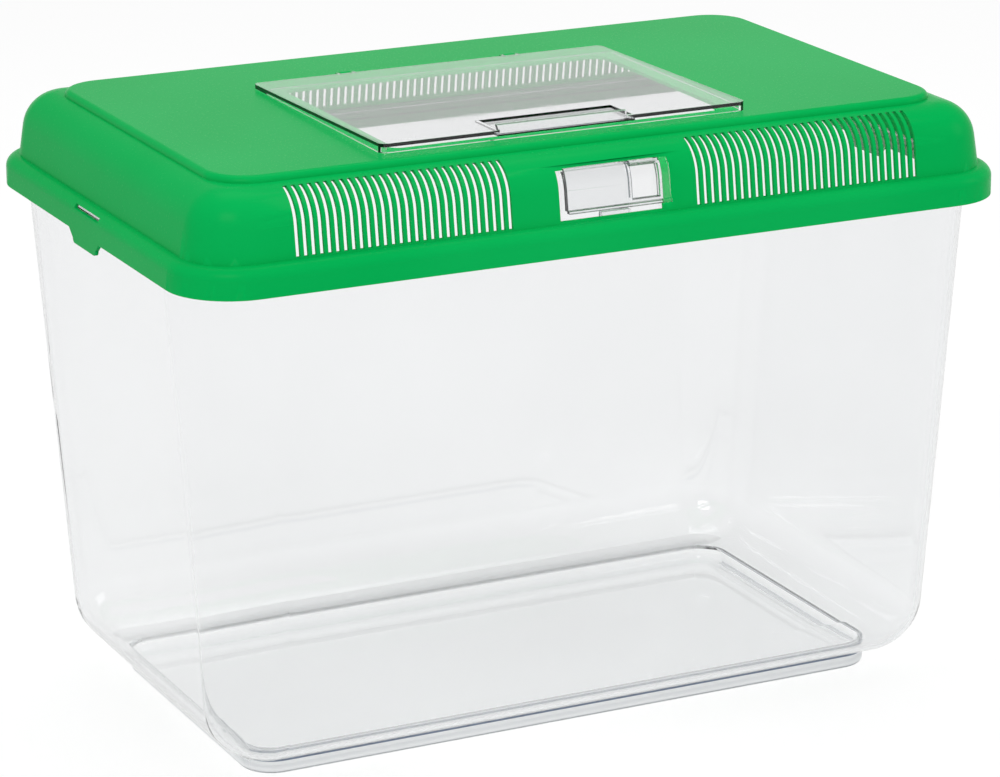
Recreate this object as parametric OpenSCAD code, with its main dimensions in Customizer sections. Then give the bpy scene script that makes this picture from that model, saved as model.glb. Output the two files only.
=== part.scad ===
// Pet transport box: a clear tapered tank, a vented lid that lifts off,
// a hinged feeding flap on the lid and a sliding latch on its front.
// Origin: centre of the underside. +X right, +Y to the rear, +Z up.

/* [Tank] */
// Half width of the tank's outside at the lower edge of the lid
tank_half_w = 195; // [190:0.5:195.5]
// Half depth of the tank's outside at the lower edge of the lid
tank_half_d = 121.7; // [118:0.1:122.2]
// Corner radius of the tank in plan at the same height
tank_corner_r = 44; // [38:1:50]
// Outward lean of the walls, mm per mm of height
tank_lean = 0.0712; // [0.05:0.001:0.08]
// Wall thickness of the tank
tank_wall = 2.2; // [1.8:0.1:2.6]
// Radius of the tank's outer bottom edge
tank_bottom_r = 28; // [22:1:30]
// Height of the plinth under the tank
plinth_h = 9.2; // [7:0.1:12]
// Width of the plinth
plinth_w = 318.4; // [300:0.2:320]
// Depth of the plinth
plinth_d = 162.3; // [150:0.1:163]
// Corner radius of the plinth in plan
plinth_corner_r = 15.8; // [12:0.1:20]
// Thickness of the floor inside the plinth
floor_t = 2.5; // [2:0.1:4]

/* [Lid] */
// Width of the lid over its skirt
lid_w = 400; // [399:0.5:402]
// Depth of the lid over its skirt
lid_d = 253.6; // [253:0.2:256]
// Corner radius of the skirt in plan
lid_corner_r = 30.4; // [28:0.1:34]
// Height of the skirt's lower edge
skirt_z = 233.5; // [232:0.5:235]
// Height of the flat shoulder above the skirt
shoulder_z = 247; // [246.5:0.1:247.5]
// Height of the dome's flat rim
dome_z = 276; // [275:0.1:277]
// Radius of the dome's rounded upper edge
dome_r = 17.5; // [16:0.5:18.5]
// Inward lean of the dome's walls, in degrees
dome_lean = 8.5; // [7:0.5:10]
// Height of the raised panel above the dome's rim
panel_h = 3; // [2:0.1:3.2]
// Width of the raised panel
panel_w = 353; // [346:1:354]
// Depth of the raised panel
panel_d = 202; // [196:1:203]
// Wall thickness of the lid
lid_wall = 1.6; // [1.5:0.1:1.8]

/* [Vents] */
// Width of a vent slot
vent_w = 1.9; // [1.6:0.1:2.2]
// Distance from slot to slot
vent_pitch = 3.66; // [3.5:0.02:3.66]
// Distance of the outermost slots from the middle
vent_reach = 150; // [146:1:152]
// Slots at the front, left of the latch
vents_left = 28; // [20:1:28]
// Slots at the front, right of the latch
vents_right = 31; // [20:1:31]

/* [Flap] */
// Width of the flap
flap_w = 178; // [176:1:180]
// Sideways place of the flap's middle
flap_x = -9; // [-10:0.5:-6]
// Front edge of the flap
flap_front = -90; // [-91:0.5:-89]
// Rear edge of the flap
flap_rear = 51; // [48:0.5:52]
// Thickness of the flap's sheet
flap_t = 1.8; // [1.4:0.1:2]
// Radius of the hinge pins
pin_r = 0.75; // [0.6:0.05:0.8]
// Sideways distance of each hinge lug from the flap's middle
lug_reach = 42; // [36:1:60]
// Height of the flap's front edge above the raised panel
flap_rise = 4.4; // [4.2:0.1:5]

/* [Latch] */
// Left edge of the latch window
window_left = -27.5; // [-28:0.5:-27]
// Right edge of the latch window
window_right = 22.5; // [22:0.5:23]
// Travel of the latch towards the left
latch_travel = 3; // [2.6:0.1:3.2]

/* [Hidden] */
$fn = 96;

// Clearance between pieces that move past each other
gap = 0.4;
// Cutters run this far past what they cut
over = 1;

// Tank: corner centres, and the centre of the bottom edge's arc
tank_cx = tank_half_w - tank_corner_r;
tank_cy = tank_half_d - tank_corner_r;
tank_lean_deg = atan(tank_lean);
tank_arc_z = plinth_h + tank_bottom_r;
tank_arc_r = tank_wall_at(tank_arc_z, 0) - tank_bottom_r / cos(tank_lean_deg);

// Lid: corner centres, and the centre of the dome edge's arc
lid_cx = lid_w / 2 - lid_corner_r;
lid_cy = lid_d / 2 - lid_corner_r;
shoulder_in = 6.3;
skirt_edge_r = 5.5;
dome_arc_z = dome_z - dome_r;
dome_arc_r = lid_corner_r - shoulder_in + (shoulder_z - dome_arc_z) * tan(dome_lean)
    - dome_r / cos(dome_lean);
panel_z = dome_z + panel_h;
panel_corner_r = 20;
panel_edge_r = 2.8;

// The tank's rim stays just under the lid's shoulder, and its flange inside the skirt
rim_gap = 0.8;
rim_play = 0.7;
rim_z = shoulder_z - lid_wall - rim_gap;
rim_drop = 5.8;
rim_low = rim_z - rim_drop;
rim_h = 3.4;
rim_root = 0.5;
rim_reach = lid_corner_r - lid_wall - rim_play + lid_cx - tank_cx;

// Vents run from the foot of the dome up over its rounded edge, where their ends slope
vent_sill = 0.6;
vent_z = shoulder_z + vent_sill;
vent_in = 106.5;
vent_end_deg = 30;
vent_end_run = 8;
vent_end_rise = vent_end_run * tan(vent_end_deg);
vent_end_z = dome_arc_z + sqrt(pow(dome_r, 2) - pow(vent_in - lid_cy - dome_arc_r, 2));
vents_rear = floor(2 * vent_reach / vent_pitch);

// Feeding opening under the flap, with the flap's overlap on each side
overlap = 8;
overlap_rear = 16;
opening_r = 6;

// Flap: it closes just above the raised panel and rises a little to the front
flap_gap = 0.3;
flap_rise_rear = 2.2;
flap_low = panel_z + flap_gap;
flap_top_front = panel_z + flap_rise;
flap_top_rear = panel_z + flap_rise_rear;
flap_left = flap_x - flap_w / 2;
flap_right = flap_x + flap_w / 2;
flap_corner_r = 3.5;
lip_left = -43;
lip_right = 20;
lip_t = 2.4;
lip_rise = 2.4;
lip_z = flap_top_front + lip_rise;
lip_slant = 2;
lip_cut_w = 5.4;
lip_cut_h = 4.2;
scoop_back = -67.5;
scoop_drop = 1.6;
scoop_z = flap_top_front - scoop_drop;
scoop_t = 1.2;
scoop_past = 3.6;
rear_land = 14;

// Hinge: lugs in shallow pockets of the panel, just behind the flap's rear edge
pocket_drop = 0.9;
pocket_front = 2.9;
pocket_d = 4.8;
arm_gap = 0.3;
arm_r = 1.35;
arm_w = 1.6;
lug_r = 1.6;
lug_w = 5;
pin_play = 0.05;
bore_r = pin_r + pin_play;
hinge_back = 2.4;
hinge_y = flap_rear + hinge_back;
hinge_z = panel_z - pocket_drop + arm_gap + arm_r;
lug_places = [flap_x - lug_reach, flap_x + lug_reach];

// Latch heights on the dome's front
window_low = shoulder_z + 1;
window_high = 269.2;
plate_low = 251.3;
plate_high = 270.1;
plate_over = 3.3;
plate_right = window_right + plate_over;
plate_edge = 0.3;
plate_in = 0.2;
plate_out = 1.7;
ridge_out = 2.6;
ridge_h = 1.6;
neck_play = 0.7;
pocket_left = 7;
pocket_low = 254;
pocket_floor = -1.6;
pocket_edge = 1.6;
flange_t = 1.4;
flange_over = 2.4;

// Soft hollow in the lid's front around the latch
dish_x = -0.5;
dish_deep = 0.8;
dish_r = 500;
dish_half_w = 36;
dish_high = 271.2;

// The latch's bolt slides to the left under the tank's keeper
bolt_left = -9;
bolt_right = 8;
bolt_y = -113.5;
bolt_t = 4.2;
tongue_h = 10.5;
bolt_toe = 3;
tongue_left = bolt_left + bolt_toe;
bolt_z = 238.5;
bolt_h = 2.5;
keeper_left = -22;
keeper_gap = 0.5;
keeper_right = bolt_left - 3 * keeper_gap;
keeper_z = bolt_z + bolt_h + keeper_gap;
keeper_h = 2.5;
keeper_y = -110;

// Rounding of the plinth: outer foot, inner floor edge and upper inner edge
foot_r = 2.5;
well_low_r = 6;
well_high_r = 0.8;

// Snap tabs at the ends of the skirt
tab_rear = 20;
tab_front = -17;
tab_drop = 6;
tab_round = 2.2;
tab_in = 4.5;
bead_half_w = 14;
bead_drop = 3.4;
bead_h = 3;

// Slot in the skirt above each tab
slot_front = -15.5;
slot_rear = 13.5;
slot_z = 243.3;
slot_h = 2;

// Radius of the tank's outside at a height, moved outward by d
function tank_wall_at(z, d) = tank_corner_r + (z - skirt_z) * tank_lean + d / cos(tank_lean_deg);

// Radius of the dome's outer wall at a height, moved outward by d
function dome_wall_at(z, d) = dome_arc_r + (dome_r + d) / cos(dome_lean)
    - (z - dome_arc_z) * tan(dome_lean);

// Height of the flap's sloping top at a place front to rear
function flap_top_at(y) = flap_top_rear
    + (flap_top_front - flap_top_rear) * (flap_rear - y) / (flap_rear - flap_front);

// Rectangle with rounded corners between two opposite corners
module round_rect(x0, y0, x1, y1, r) {
    translate([x0 + r, y0]) square([x1 - x0 - 2 * r, y1 - y0]);
    translate([x0, y0 + r]) square([x1 - x0, y1 - y0 - 2 * r]);
    for (x = [x0 + r, x1 - r], y = [y0 + r, y1 - r])
        translate([x, y]) circle(r);
}

// Carries a section (distance out, height) round a rectangle of corner centres
module sweep_round(cx, cy) {
    for (turn = [0:3]) {
        odd = turn % 2;
        out_x = odd == 1 ? cy : cx;
        run = odd == 1 ? cx : cy;
        rotate([0, 0, 90 * turn]) translate([out_x, run, 0]) {
            rotate_extrude(angle = 90) children();
            rotate([90, 0, 0]) linear_extrude(2 * run) children();
        }
    }
}

// Flat slab between the corner centres
module middle_slab(cx, cy, z0, z1) {
    translate([-cx, -cy, z0]) cube([2 * cx, 2 * cy, z1 - z0]);
}

// Half section of the tank's body, moved outward by d
module tank_section(d, top) {
    low_r = tank_bottom_r + d;
    touch = [tank_arc_r + low_r * cos(tank_lean_deg), tank_arc_z - low_r * sin(tank_lean_deg)];
    polygon([[0, tank_arc_z], [tank_arc_r, tank_arc_z], touch, [tank_wall_at(top, d), top], [0, top]]);
    translate([0, tank_arc_z - low_r]) square([tank_arc_r, low_r]);
    translate([tank_arc_r, tank_arc_z]) intersection() {
        circle(low_r);
        translate([0, -low_r]) square(low_r);
    }
}

// Half section of the dome, moved outward by d
module dome_section(d, low) {
    high_r = dome_r + d;
    touch = [dome_arc_r + high_r * cos(dome_lean), dome_arc_z + high_r * sin(dome_lean)];
    polygon([[0, low], [dome_wall_at(low, d), low], touch, [dome_arc_r, dome_arc_z], [0, dome_arc_z]]);
    translate([0, dome_arc_z]) square([dome_arc_r, high_r]);
    translate([dome_arc_r, dome_arc_z]) intersection() {
        circle(high_r);
        square(high_r);
    }
}

// Half section of the skirt, with its upper outer edge rounded
module skirt_section(reach, low, high, edge_r) {
    translate([0, low]) square([reach - edge_r, high - low]);
    translate([0, low]) square([reach, high - low - edge_r]);
    translate([reach - edge_r, high - edge_r]) circle(edge_r);
}

// Strip that follows the dome's front, between two offsets and two heights
module front_strip(x0, x1, d0, d1, z0, z1) {
    translate([x0, -lid_cy, 0]) mirror([0, 1, 0]) rotate([90, 0, 90]) linear_extrude(x1 - x0)
        intersection() {
            difference() {
                dome_section(d1, z0 - over);
                dome_section(d0, z0 - 2 * over);
            }
            translate([0, z0]) square([lid_corner_r, z1 - z0]);
        }
}

// Cutter for the soft hollow: the dome's section carried on a wide arc seen from above
module front_dish() {
    spread = 2 * asin(dish_half_w / dish_r);
    translate([dish_x, -lid_cy - dish_r, 0]) rotate([0, 0, 90 - spread / 2])
        rotate_extrude(angle = spread, $fn = 720) difference() {
            translate([dish_r - lid_corner_r, shoulder_z])
                square([lid_corner_r, dish_high - shoulder_z]);
            translate([dish_r, 0]) mirror([1, 0]) dome_section(-dish_deep, shoulder_z - over);
        }
}

// Row of vent cutters along X; side is -1 for the front and 1 for the rear
module vent_row(first_x, count, side) {
    outer = lid_d / 2 + over;
    inner = vent_in - vent_end_run;
    for (i = [0:count - 1])
        translate([first_x + i * vent_pitch - vent_w / 2, 0, 0]) rotate([90, 0, 90]) linear_extrude(vent_w)
            polygon([[side * outer, vent_z], [side * inner, vent_z],
                [side * inner, vent_end_z - vent_end_rise],
                [side * (vent_in + vent_end_run), vent_end_z + vent_end_rise],
                [side * outer, vent_end_z + vent_end_rise]]);
}

// Keeper inside the tank's front wall that the latch's bolt slides under
module keeper() {
    wall_y = -tank_half_d + tank_wall / 2;
    translate([keeper_left, wall_y, keeper_z])
        cube([keeper_right - keeper_left, keeper_y - wall_y, keeper_h]);
}

// Section of the plinth's outside, with its foot rounded
module plinth_section(high) {
    square([plinth_corner_r - foot_r, high]);
    translate([0, foot_r]) square([plinth_corner_r, high - foot_r]);
    translate([plinth_corner_r - foot_r, foot_r]) circle(foot_r);
}

// Section of the hollow in the plinth, rounded at the floor and at its upper edge
module well_section(high) {
    reach = plinth_corner_r - floor_t;
    translate([0, floor_t]) square([reach - well_low_r, high - floor_t + over]);
    translate([0, floor_t + well_low_r]) square([reach, high - floor_t - well_low_r + over]);
    translate([reach - well_low_r, floor_t + well_low_r]) circle(well_low_r);
    difference() {
        translate([reach - over, high - well_high_r]) square([well_high_r + over, well_high_r + over]);
        translate([reach + well_high_r, high - well_high_r]) circle(well_high_r);
    }
}

// Clear tank: leaning walls, rounded bottom edge, sunken floor and outer rim
module tank() {
    plinth_cx = plinth_w / 2 - plinth_corner_r;
    plinth_cy = plinth_d / 2 - plinth_corner_r;
    inner_z = plinth_h + tank_wall;
    color([0.9, 0.92, 0.92, 0.4]) {
        difference() {
            union() {
                sweep_round(tank_cx, tank_cy) {
                    difference() {
                        tank_section(0, rim_z);
                        tank_section(-tank_wall, rim_z + over);
                    }
                    translate([tank_corner_r - rim_root, rim_low])
                        square([rim_reach - tank_corner_r + rim_root, rim_h]);
                }
                middle_slab(tank_cx, tank_cy, plinth_h, inner_z);
                sweep_round(plinth_cx, plinth_cy) plinth_section(plinth_h + tank_wall / 2);
                middle_slab(plinth_cx, plinth_cy, 0, plinth_h + tank_wall / 2);
            }
            sweep_round(plinth_cx, plinth_cy) well_section(inner_z);
            middle_slab(plinth_cx, plinth_cy, floor_t, inner_z + over);
        }
        keeper();
    }
}

// Snap tab on one end of the skirt, with a low bead on its inner face
module snap_tab() {
    skin_x = lid_w / 2 - lid_wall;
    low = skirt_z - tab_drop;
    translate([skin_x, 0, 0]) rotate([90, 0, 90]) linear_extrude(lid_wall) {
        polygon([[tab_front, skirt_z + over], [tab_front, skirt_z], [tab_front + tab_in, low + tab_round],
            [tab_rear - tab_in, low + tab_round], [tab_rear, skirt_z], [tab_rear, skirt_z + over]]);
        translate([tab_front + tab_in + tab_round, low])
            square([tab_rear - tab_front - 2 * (tab_in + tab_round), tab_drop]);
        for (y = [tab_front + tab_in + tab_round, tab_rear - tab_in - tab_round])
            translate([y, low + tab_round]) circle(tab_round);
    }
    translate([skin_x - gap, -bead_half_w, rim_low - bead_drop])
        cube([gap + over, 2 * bead_half_w, bead_h]);
}

// Lug that carries one of the flap's hinge pins
module lug(x) {
    translate([x - lug_w / 2, hinge_y, 0]) {
        translate([0, 0, hinge_z]) rotate([0, 90, 0]) cylinder(h = lug_w, r = lug_r);
        translate([0, -lug_r, panel_z - lid_wall])
            cube([lug_w, 2 * lug_r, hinge_z - panel_z + lid_wall]);
    }
}

// Pocket in the panel around one lug, with room for the flap's arms to turn
module lug_pocket(x) {
    half_w = lug_w / 2 + arm_w + 2 * gap;
    translate([x - half_w, hinge_y - pocket_front, panel_z - pocket_drop])
        cube([2 * half_w, pocket_d, pocket_drop + over]);
}

// Shell of the lid with every opening cut
module lid_shell() {
    panel_cx = panel_w / 2 - panel_corner_r;
    panel_cy = panel_d / 2 - panel_corner_r;
    panel_in = panel_corner_r - lid_wall;
    difference() {
        union() {
            sweep_round(lid_cx, lid_cy) difference() {
                union() {
                    skirt_section(lid_corner_r, skirt_z, shoulder_z, skirt_edge_r);
                    dome_section(0, shoulder_z - over);
                }
                skirt_section(lid_corner_r - lid_wall, skirt_z - over, shoulder_z - lid_wall,
                    skirt_edge_r - lid_wall);
                dome_section(-lid_wall, shoulder_z - 2 * lid_wall);
            }
            middle_slab(lid_cx, lid_cy, dome_z - lid_wall, dome_z);
            sweep_round(panel_cx, panel_cy)
                translate([0, dome_z - lid_wall])
                    skirt_section(panel_corner_r, 0, panel_h + lid_wall, panel_edge_r);
            middle_slab(panel_cx, panel_cy, dome_z - lid_wall, panel_z);
            snap_tab();
            mirror([1, 0, 0]) snap_tab();
        }
        // Hollow under the raised panel
        translate([0, 0, dome_z - lid_wall - over]) linear_extrude(panel_h + over)
            round_rect(lid_wall - panel_w / 2, lid_wall - panel_d / 2, panel_w / 2 - lid_wall,
                panel_d / 2 - lid_wall, panel_in);
        // Feeding opening
        translate([0, 0, dome_z - lid_wall]) linear_extrude(panel_h + lid_wall + over)
            round_rect(flap_left + overlap, flap_front + overlap, flap_right - overlap,
                flap_rear - overlap_rear, opening_r);
        // Vents at the front and the rear
        vent_row(-vent_reach, vents_left, -1);
        vent_row(vent_reach - (vents_right - 1) * vent_pitch, vents_right, -1);
        vent_row(-(vents_rear - 1) * vent_pitch / 2, vents_rear, 1);
        // Latch window in a soft hollow
        front_dish();
        translate([window_left, -lid_d / 2, window_low])
            cube([window_right - window_left, lid_d / 2 - vent_in, window_high - window_low]);
        // Slot above each snap tab
        translate([-lid_w / 2 - over, slot_front, slot_z])
            cube([lid_w + 2 * over, slot_rear - slot_front, slot_h]);
    }
}

// Green lid: skirt, shoulder, domed walls with vents, raised panel and hinge lugs
module lid() {
    color([0.1, 0.68, 0.33, 0.9]) {
        difference() {
            lid_shell();
            for (x = lug_places)
                lug_pocket(x);
        }
        difference() {
            for (x = lug_places)
                lug(x);
            translate([flap_left, hinge_y, hinge_z]) rotate([0, 90, 0]) cylinder(h = flap_w, r = bore_r);
        }
    }
}

// Block with the flap's sloping top, between two edges front to rear
module flap_block(inset, front, rear, low, drop) {
    intersection() {
        translate([flap_left + inset, 0, 0]) rotate([90, 0, 90]) linear_extrude(flap_w - 2 * inset)
            polygon([[front, low], [front, flap_top_at(front) - drop], [rear, flap_top_at(rear) - drop],
                [rear, low]]);
        translate([0, 0, low]) linear_extrude(2 * flap_rise)
            round_rect(flap_left + inset, front, flap_right - inset, rear, flap_corner_r - inset);
    }
}

// Two arms and the pin between them, around one hinge lug
module hinge_pin(x) {
    reach = lug_w / 2 + gap + arm_w;
    for (arm_x = [x - reach, x + reach - arm_w])
        translate([arm_x, hinge_y, hinge_z]) {
            rotate([0, 90, 0]) cylinder(h = arm_w, r = arm_r);
            translate([0, flap_rear - over - hinge_y, flap_low - hinge_z])
                cube([arm_w, hinge_y - flap_rear + over, hinge_z + arm_r - flap_low]);
        }
    translate([x - reach, hinge_y, hinge_z]) rotate([0, 90, 0]) cylinder(h = 2 * reach, r = pin_r);
}

// Clear flap: shallow tray with hinge arms, grip lip and finger scoop
module flap() {
    scoop_left = lip_left + lip_slant;
    scoop_w = lip_right + scoop_past - scoop_left;
    scoop_front = flap_front + lip_t;
    color([0.9, 0.92, 0.92, 0.5]) {
        difference() {
            union() {
                flap_block(0, flap_front, flap_rear, flap_low, 0);
                translate([0, scoop_front, 0]) rotate([90, 0, 0]) linear_extrude(lip_t)
                    polygon([[scoop_left, flap_low], [lip_right - lip_cut_w, flap_low],
                        [lip_right, flap_low + lip_cut_h], [lip_right, lip_z], [lip_left, lip_z]]);
            }
            // Hollow under the sheet, filled again under the scoop
            difference() {
                flap_block(flap_t, flap_front + flap_t, flap_rear - rear_land, flap_low - over, flap_t);
                translate([scoop_left - scoop_t, flap_front, scoop_z - scoop_t])
                    cube([scoop_w + 2 * scoop_t, scoop_back + scoop_t - flap_front, 2 * flap_t]);
            }
            // Finger scoop behind the lip
            translate([scoop_left, scoop_front, scoop_z])
                cube([scoop_w, scoop_back - scoop_front, flap_rise]);
        }
        for (x = lug_places)
            hinge_pin(x);
    }
}

// Clear latch: curved plate outside, flange and bolt inside, a neck between them
module latch() {
    neck_left = window_left + latch_travel + gap;
    neck_right = window_right - gap;
    plate_left = neck_left - plate_edge;
    in_near = -lid_wall - gap;
    in_far = in_near - flange_t;
    color([0.93, 0.95, 0.95, 0.5]) difference() {
        union() {
            front_strip(plate_left, plate_right, plate_in, plate_out, plate_low, plate_high);
            front_strip(plate_left, plate_right, plate_in, ridge_out, plate_low, plate_low + ridge_h);
            front_strip(neck_left, neck_right, in_far, plate_out, plate_low + neck_play,
                window_high - neck_play);
            front_strip(window_left - flange_over, plate_right, in_far, in_near, shoulder_z,
                window_high + flange_over);
            translate([tongue_left, bolt_y - bolt_t, bolt_z])
                cube([bolt_right - tongue_left, bolt_t, tongue_h]);
            translate([bolt_left, bolt_y - bolt_t, bolt_z]) cube([bolt_right - bolt_left, bolt_t, bolt_h]);
        }
        // Finger pocket at the right
        front_strip(pocket_left, neck_right - pocket_edge, pocket_floor, ridge_out + over, pocket_low,
            window_high - neck_play - gap);
    }
}

tank();
lid();
flap();
latch();
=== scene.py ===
# Pet transport box: clear tank, green vented lid, clear feeding flap and latch
from math import pi, radians

import bpy
from mathutils import Matrix, Vector

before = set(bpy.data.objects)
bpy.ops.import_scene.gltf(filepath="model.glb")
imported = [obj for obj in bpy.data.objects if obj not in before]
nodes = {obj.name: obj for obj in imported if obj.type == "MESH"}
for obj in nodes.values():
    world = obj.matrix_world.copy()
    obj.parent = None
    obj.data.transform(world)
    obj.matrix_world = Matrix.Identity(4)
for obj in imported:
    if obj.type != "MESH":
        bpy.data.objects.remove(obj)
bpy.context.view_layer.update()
bpy.ops.object.select_all(action="DESELECT")
print("frame loaded:", ", ".join(sorted(nodes)))


# small helpers for node trees

def newMaterial(name):
    mat = bpy.data.materials.new(name)
    mat.use_nodes = True
    tree = mat.node_tree
    return mat, tree, tree.nodes["Principled BSDF"]


# each value goes to the socket of that name, or else to the node's own setting
def addNode(tree, kind, **values):
    made = tree.nodes.new(kind)
    for key, value in values.items():
        if key in made.inputs:
            made.inputs[key].default_value = value
        else:
            setattr(made, key, value)
    return made


def noiseOn(tree, scale, detail, rough=0.5, stretch=(1, 1, 1)):
    coord = addNode(tree, "ShaderNodeTexCoord")
    mapping = addNode(tree, "ShaderNodeMapping", Scale=stretch)
    noise = addNode(tree, "ShaderNodeTexNoise", Scale=scale, Detail=detail, Roughness=rough)
    tree.links.new(coord.outputs["Object"], mapping.inputs["Vector"])
    tree.links.new(mapping.outputs["Vector"], noise.inputs["Vector"])
    return noise.outputs["Fac"]


def rampFrom(tree, source, low, high, span=(0.3, 0.7)):
    ramp = addNode(tree, "ShaderNodeValToRGB")
    for stop, place, colour in zip(ramp.color_ramp.elements, span, (low, high)):
        stop.position = place
        stop.color = (*colour, 1)
    tree.links.new(source, ramp.inputs["Fac"])
    return ramp.outputs["Color"]


def remap(tree, source, before, after=(0, 1)):
    made = addNode(tree, "ShaderNodeMapRange")
    for name, value in zip(("From Min", "From Max", "To Min", "To Max"), (*before, *after)):
        made.inputs[name].default_value = value
    tree.links.new(source, made.inputs["Value"])
    return made


def bumpFrom(tree, source, strength, depth, shader):
    bump = addNode(tree, "ShaderNodeBump", Strength=strength, Distance=depth)
    tree.links.new(source, bump.inputs["Height"])
    tree.links.new(bump.outputs["Normal"], shader.inputs["Normal"])


def grey(value):
    return (value, value, value)


# clear moulded plastic, with faint flow marks and a few fine scratches

clearLook = {"tint": (0.995, 0.996, 0.997), "flow": 14.0, "flowDetail": 2.0, "flowShade": 0.985,
             "wave": 0.012, "waveDepth": 0.002,
             "scratch": 60.0, "scratchDetail": 6.0, "scratchRough": 0.7, "scratchStretch": (1, 1, 0.12),
             "scratchSpan": (0.5, 0.8), "roughLow": 0.01, "roughHigh": 0.045,
             "ior": 1.49, "depth": (0.705, 0.722, 0.735, 1), "density": 100.0}


# a mark comes in along one axis, from its start to its full strength,
# and keeps within half its width of a middle on another axis
def blendMark(tree, under, mark):
    along, start, full = mark["along"]
    across, middle, half = mark["across"]
    coord = addNode(tree, "ShaderNodeTexCoord")
    split = addNode(tree, "ShaderNodeSeparateXYZ")
    tree.links.new(coord.outputs["Object"], split.inputs[0])
    reach = remap(tree, split.outputs[along], (start, full))
    near = addNode(tree, "ShaderNodeMath", operation="COMPARE")
    near.inputs[1].default_value = middle
    near.inputs[2].default_value = half
    both = addNode(tree, "ShaderNodeMath", operation="MULTIPLY")
    mix = addNode(tree, "ShaderNodeMixRGB", Color2=mark["value"])
    tree.links.new(split.outputs[across], near.inputs[0])
    tree.links.new(reach.outputs["Result"], both.inputs[0])
    tree.links.new(near.outputs[0], both.inputs[1])
    tree.links.new(both.outputs[0], mix.inputs["Fac"])
    tree.links.new(under, mix.inputs["Color1"])
    return mix.outputs["Color"]


def clearPlastic(name, look):
    mat, tree, shader = newMaterial(name)
    flow = noiseOn(tree, clearLook["flow"], clearLook["flowDetail"])
    tint = clearLook["tint"]
    shaded = tuple(c * clearLook["flowShade"] for c in tint)
    colour = rampFrom(tree, flow, shaded, tint)
    # painted shade lines darken the base colour inside their bands
    for mark in look["paintedShadeLines"]:
        colour = blendMark(tree, colour, mark)
    tree.links.new(colour, shader.inputs["Base Color"])
    scratch = noiseOn(tree, clearLook["scratch"], clearLook["scratchDetail"],
                      clearLook["scratchRough"], clearLook["scratchStretch"])
    rough = rampFrom(tree, scratch, grey(clearLook["roughLow"]), grey(clearLook["roughHigh"]),
                     clearLook["scratchSpan"])
    for mark in look["dull"]:
        rough = blendMark(tree, rough, mark)
    tree.links.new(rough, shader.inputs["Roughness"])
    bumpFrom(tree, flow, clearLook["wave"], clearLook["waveDepth"], shader)
    shader.inputs["Transmission Weight"].default_value = 1.0
    shader.inputs["IOR"].default_value = clearLook["ior"]
    soak = addNode(tree, "ShaderNodeVolumeAbsorption", Color=clearLook["depth"], Density=clearLook["density"])
    tree.links.new(soak.outputs["Volume"], tree.nodes["Material Output"].inputs["Volume"])
    return mat


# green satin plastic of the lid

lidLook = {"edge": 0.0003, "deep": (0.0005, 0.42, 0.083), "pale": (0.003, 0.45, 0.095),
           "flow": 9.0, "grain": 900.0, "detail": 2.0, "bump": 0.006, "bumpDepth": 0.0005,
           "roughLow": 0.22, "roughHigh": 0.28, "ior": 1.49, "shine": 0.02}


def greenPlastic(name):
    mat, tree, shader = newMaterial(name)
    flow = noiseOn(tree, lidLook["flow"], lidLook["detail"])
    colour = rampFrom(tree, flow, lidLook["deep"], lidLook["pale"])
    tree.links.new(colour, shader.inputs["Base Color"])
    grain = noiseOn(tree, lidLook["grain"], lidLook["detail"])
    rough = rampFrom(tree, grain, grey(lidLook["roughLow"]), grey(lidLook["roughHigh"]))
    tree.links.new(rough, shader.inputs["Roughness"])
    bumpFrom(tree, grain, lidLook["bump"], lidLook["bumpDepth"], shader)
    shader.inputs["IOR"].default_value = lidLook["ior"]
    shader.inputs["Specular IOR Level"].default_value = lidLook["shine"]
    return mat


# sharp moulded edges get a small round

edgeLook = {"merge": 1e-5, "segments": 2, "sharperThan": 35}


def dressNode(name, mat, edge):
    node = nodes[name]
    node.data.materials.clear()
    node.data.materials.append(mat)
    weld = node.modifiers.new("weld", "WELD")
    weld.merge_threshold = edgeLook["merge"]
    bevel = node.modifiers.new("edge", "BEVEL")
    bevel.width = edge
    bevel.segments = edgeLook["segments"]
    bevel.limit_method = "ANGLE"
    bevel.angle_limit = radians(edgeLook["sharperThan"])
    bevel.use_clamp_overlap = True
    smooth = node.modifiers.new("smooth", "WEIGHTED_NORMAL")
    smooth.mode = "FACE_AREA_WITH_ANGLE"
    return node


# the plinth has a painted blue-grey shade line under its front crease, a slightly dull front and a dull rear
# edge
plinthFront = ("Y", -0.0670, -0.0725)
tankLook = {"edge": 0.0006,
            "paintedShadeLines": [{"along": plinthFront, "across": ("Z", 0.00715, 0.00085),
                       "value": (0.04, 0.06, 0.11, 1)}],
            "dull": [{"along": plinthFront, "across": ("Z", 0.0044, 0.0044), "value": (*grey(0.3), 1)},
                     {"along": ("Y", 0.0770, 0.0785), "across": ("Z", 0.0103, 0.0014),
                      "value": (*grey(0.55), 1)}]}

flapLook = {"edge": 0.0006, "paintedShadeLines": [], "dull": []}

# a painted dark shade line where the latch's plate steps down into its finger pocket
latchLook = {"edge": 0.0004, "dull": [],
             "paintedShadeLines": [{"along": ("Z", 0.2538, 0.2542), "across": ("X", 0.0070, 0.0004),
                        "value": (0.10, 0.12, 0.13, 1)}]}

# the clear pieces let the lamps through
for name, look in (("tank", tankLook), ("flap", flapLook), ("latch", latchLook)):
    dressNode(name, clearPlastic("clear_" + name, look), look["edge"]).visible_shadow = False
dressNode("lid", greenPlastic("green_lid"), lidLook["edge"])
print("nodes dressed")


# studio: pale floor, white surround, soft boxes

studio = {"floor": 4.0, "lift": 0.0001, "floorPale": 0.8, "floorShade": 0.3, "floorGlow": 0.75,
          "surround": 0.52, "horizon": 0.1, "overhead": 0.5, "white": 1.0, "above": 0.4}

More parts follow.
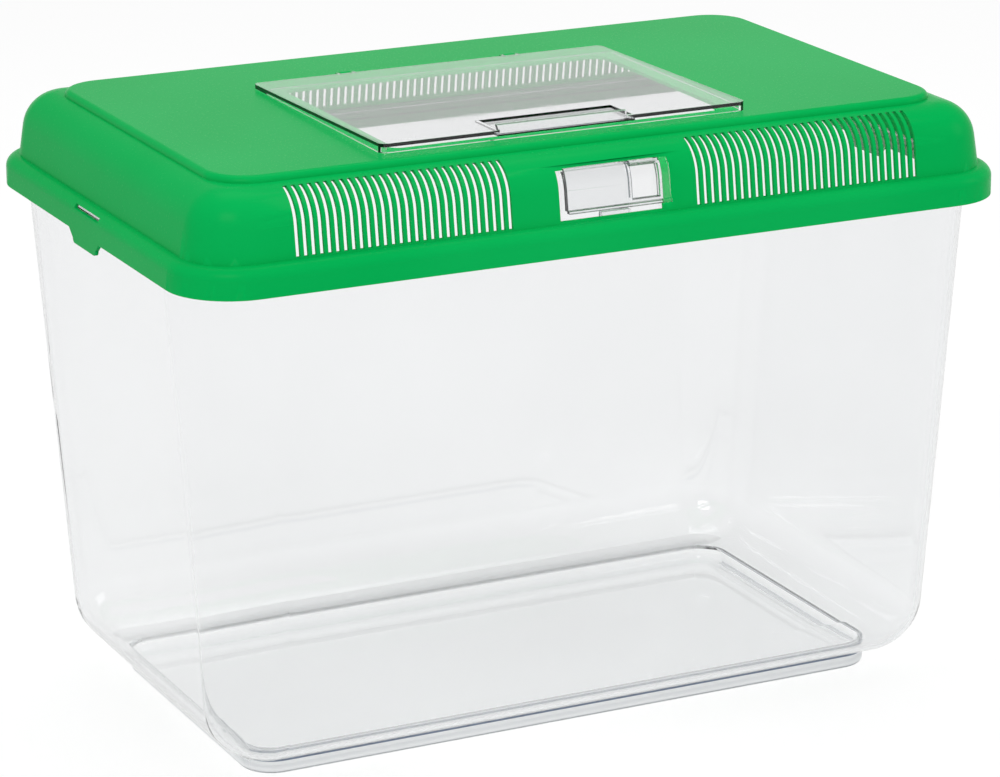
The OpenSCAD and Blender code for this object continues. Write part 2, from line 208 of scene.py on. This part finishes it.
softBoxes = {"key_box": {"place": (-1.2, -1.6, 1.9), "aim": (0, 0, 0.15), "size": (1.2, 0.9), "power": 24},
             "fill_box": {"place": (1.8, -1.0, 1.1), "aim": (0, 0, 0.15), "size": (1.0, 1.0), "power": 8},
             "top_box": {"place": (0.2, 0.5, 2.0), "aim": (0, 0, 0.2), "size": (1.4, 1.0), "power": 9.5}}


# 1 for what the camera sees, straight or by way of gloss and clear plastic
def seenByEye(tree):
    path = addNode(tree, "ShaderNodeLightPath")
    first = addNode(tree, "ShaderNodeMath", operation="ADD")
    second = addNode(tree, "ShaderNodeMath", operation="ADD", use_clamp=True)
    tree.links.new(path.outputs["Is Camera Ray"], first.inputs[0])
    tree.links.new(path.outputs["Is Glossy Ray"], first.inputs[1])
    tree.links.new(first.outputs[0], second.inputs[0])
    tree.links.new(path.outputs["Is Transmission Ray"], second.inputs[1])
    return second.outputs[0]


def whiteFloor():
    bpy.ops.mesh.primitive_plane_add(size=studio["floor"], location=(0, 0, studio["lift"]))
    floor = bpy.context.object
    floor.name = "floor"
    mat, tree, shader = newMaterial("pale_floor")
    tree.nodes.remove(shader)
    pale = addNode(tree, "ShaderNodeBsdfDiffuse", Color=(*grey(studio["floorPale"]), 1))
    shade = addNode(tree, "ShaderNodeBsdfDiffuse", Color=(*grey(studio["floorShade"]), 1))
    glow = addNode(tree, "ShaderNodeEmission", Color=(1, 1, 1, 1), Strength=studio["floorGlow"])
    both = addNode(tree, "ShaderNodeAddShader")
    mix = addNode(tree, "ShaderNodeMixShader")
    tree.links.new(shade.outputs[0], both.inputs[0])
    tree.links.new(glow.outputs[0], both.inputs[1])
    tree.links.new(seenByEye(tree), mix.inputs["Fac"])
    tree.links.new(pale.outputs[0], mix.inputs[1])
    tree.links.new(both.outputs[0], mix.inputs[2])
    tree.links.new(mix.outputs[0], tree.nodes["Material Output"].inputs["Surface"])
    floor.data.materials.append(mat)


# white all round the horizon, dimmer overhead
def whiteSurround():
    world = bpy.data.worlds.new("surround")
    bpy.context.scene.world = world
    world.use_nodes = True
    tree = world.node_tree
    back = tree.nodes["Background"]
    back.inputs["Color"].default_value = (1, 1, 1, 1)
    coord = addNode(tree, "ShaderNodeTexCoord")
    split = addNode(tree, "ShaderNodeSeparateXYZ")
    tree.links.new(coord.outputs["Generated"], split.inputs[0])
    height = remap(tree, split.outputs["Z"], (studio["horizon"], studio["overhead"]),
                   (studio["white"], studio["above"]))
    strength = remap(tree, seenByEye(tree), (0, 1), (studio["surround"], studio["white"]))
    tree.links.new(height.outputs["Result"], strength.inputs["To Max"])
    tree.links.new(strength.outputs["Result"], back.inputs["Strength"])


def softBox(name, look):
    light = bpy.data.lights.new(name, "AREA")
    light.shape = "RECTANGLE"
    light.size, light.size_y = look["size"]
    light.energy = look["power"]
    box = bpy.data.objects.new(name, light)
    bpy.context.scene.collection.objects.link(box)
    box.location = look["place"]
    towards = Vector(look["aim"]) - Vector(look["place"])
    box.rotation_euler = towards.to_track_quat("-Z", "Y").to_euler()


whiteFloor()
whiteSurround()
for name, look in softBoxes.items():
    softBox(name, look)
print("studio set")


# camera fitted to the photograph, angles in degrees

view = {"place": (-0.79757, -1.63904, 0.70083), "azimuth": -26.0, "elevation": 17.21, "roll": -0.2,
        "lens": 147.77, "sensor": 36.0}


def photoCamera():
    lens = bpy.data.cameras.new("photo_camera")
    lens.sensor_fit = "HORIZONTAL"
    lens.sensor_width = view["sensor"]
    lens.lens = view["lens"]
    camera = bpy.data.objects.new("photo_camera", lens)
    bpy.context.scene.collection.objects.link(camera)
    camera.location = view["place"]
    turn = Matrix.Rotation(radians(view["azimuth"]), 3, "Z")
    tilt = Matrix.Rotation(pi / 2 - radians(view["elevation"]), 3, "X")
    roll = Matrix.Rotation(radians(view["roll"]), 3, "Z")
    camera.rotation_euler = (turn @ tilt @ roll).to_euler()
    bpy.context.scene.camera = camera


photoCamera()
bpy.context.scene.view_settings.view_transform = "Standard"
print("camera set")
